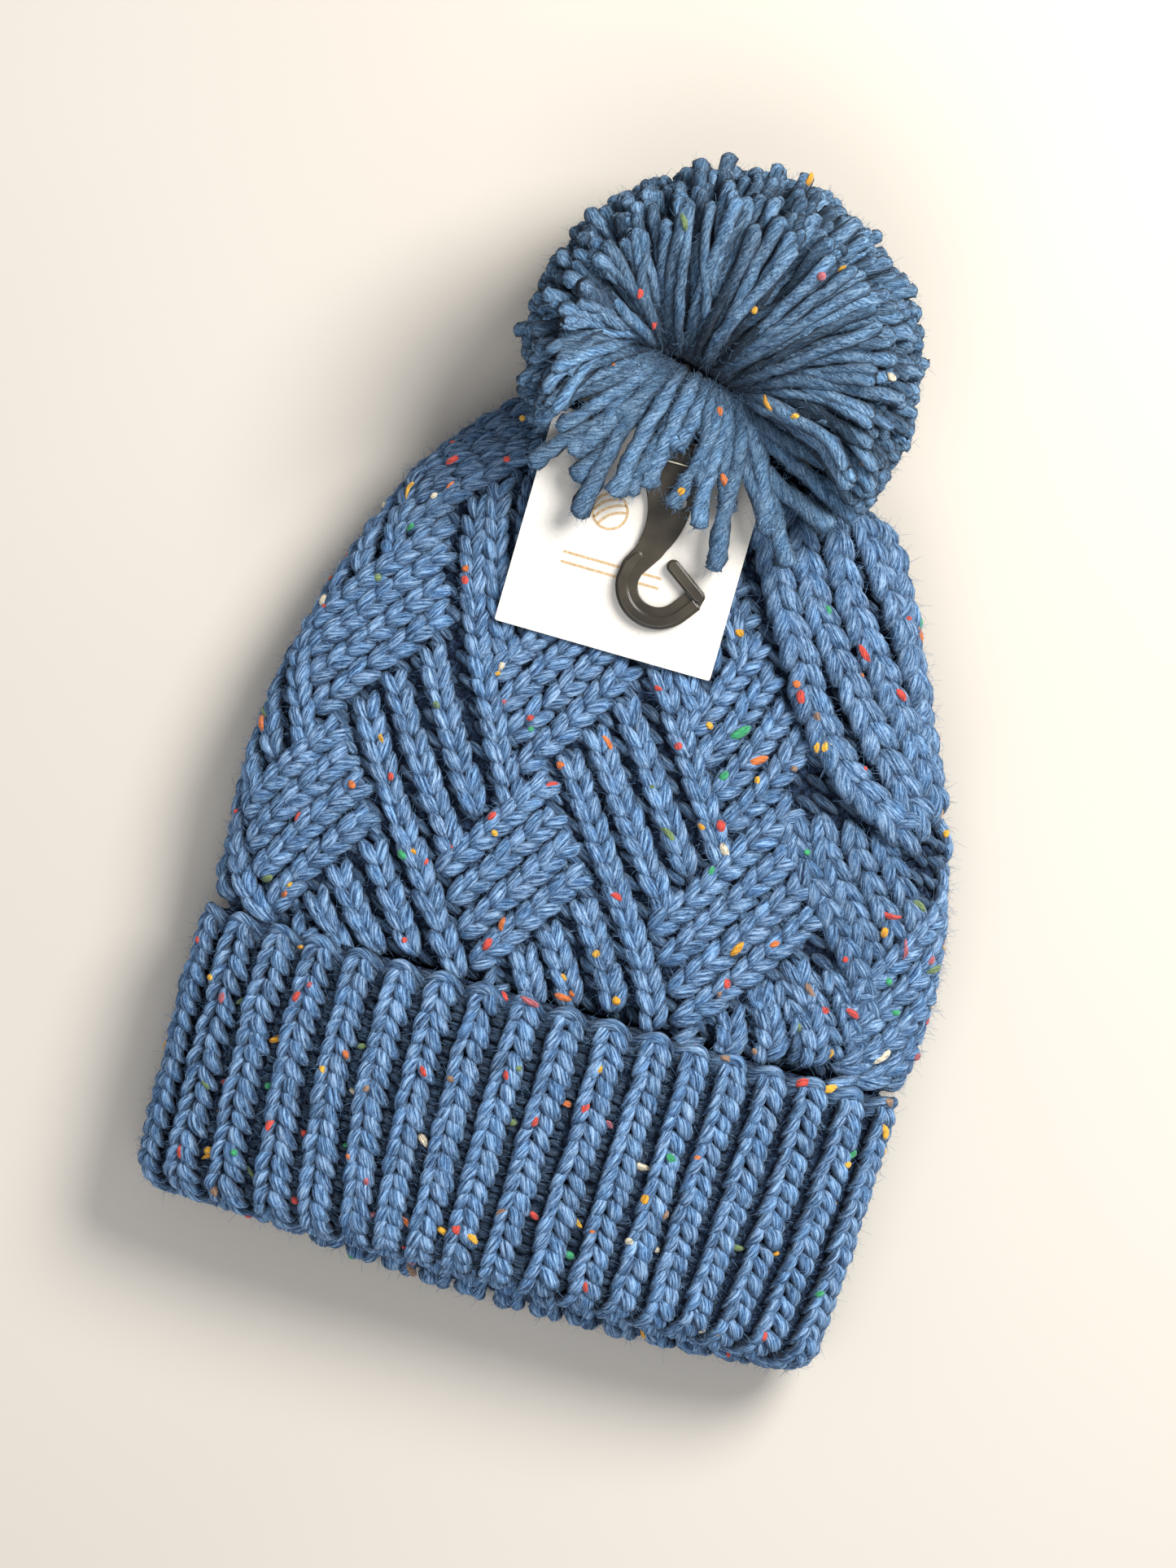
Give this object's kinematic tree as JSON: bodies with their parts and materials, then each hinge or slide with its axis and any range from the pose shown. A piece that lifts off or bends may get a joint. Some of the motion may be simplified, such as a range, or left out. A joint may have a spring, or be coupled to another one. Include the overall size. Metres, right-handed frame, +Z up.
{
  "type": "pom pom beanie",
  "caption": "Chunky cable-knit beanie lying flat, with a turned-up ribbed cuff, a tied yarn pom-pom, and a stapled card tag with a plastic hook.",
  "frame": {"origin": "bottom centre of the whole object's box, on the surface that the hat lies on", "axes": "+X across the hat, +Y from the cuff's fold to the pom-pom, +Z up out of the visible face"},
  "size_m": [0.2196, 0.348, 0.088],
  "materials": {
    "knit_body": "heathered tweed yarn with coloured flecks",
    "knit_band": "heathered tweed yarn, ribbed",
    "knit_cuff": "heathered tweed yarn, ribbed",
    "pom_yarn": "cut strands of plied yarn",
    "binding_yarn": "plied binding yarn",
    "tag_card": "smooth coated card, pale gold print",
    "staple_wire": "drawn wire",
    "hook_plastic": "semi-gloss moulded"
  },
  "bodies": {
    "hat": {"crown_shell": "knit_body", "inner_rib_band": "knit_band", "turned_up_cuff": "knit_cuff", "crown_gathering_yarn": "binding_yarn", "pom_anchor_cord": "binding_yarn", "anchor_knot": "binding_yarn"},
    "tie": {"pom_tie": "binding_yarn", "pom_lower_strands": "pom_yarn"},
    "pom": {"pom_tuft": "pom_yarn"},
    "tag": {"tag_card": "tag_card", "tag_staple": "staple_wire"},
    "hook": {"tag_hook": "hook_plastic"}
  },
  "joints": [
    {"name": "pom_swing", "type": "hinge", "parent": "hat", "child": "tie", "pos_m": [-0.006, 0.105, 0.044], "axis": [0, 0, 1], "range_deg": [-20, 20]},
    {"name": "pom_lift", "type": "hinge", "parent": "tie", "child": "pom", "pos_m": [-0.006, 0.105, 0.044], "axis": [1, 0, 0], "range_deg": [0, 30]},
    {"name": "tag_swing", "type": "hinge", "parent": "hat", "child": "tag", "pos_m": [-0.008, 0.082, 0.0449], "axis": [0, 0, 1], "range_deg": [-12, 12]},
    {"name": "hook_swing", "type": "hinge", "parent": "tag", "child": "hook", "pos_m": [-0.008, 0.082, 0.0449], "axis": [0, 0, 1], "range_deg": [-8, 8]}
  ]
}
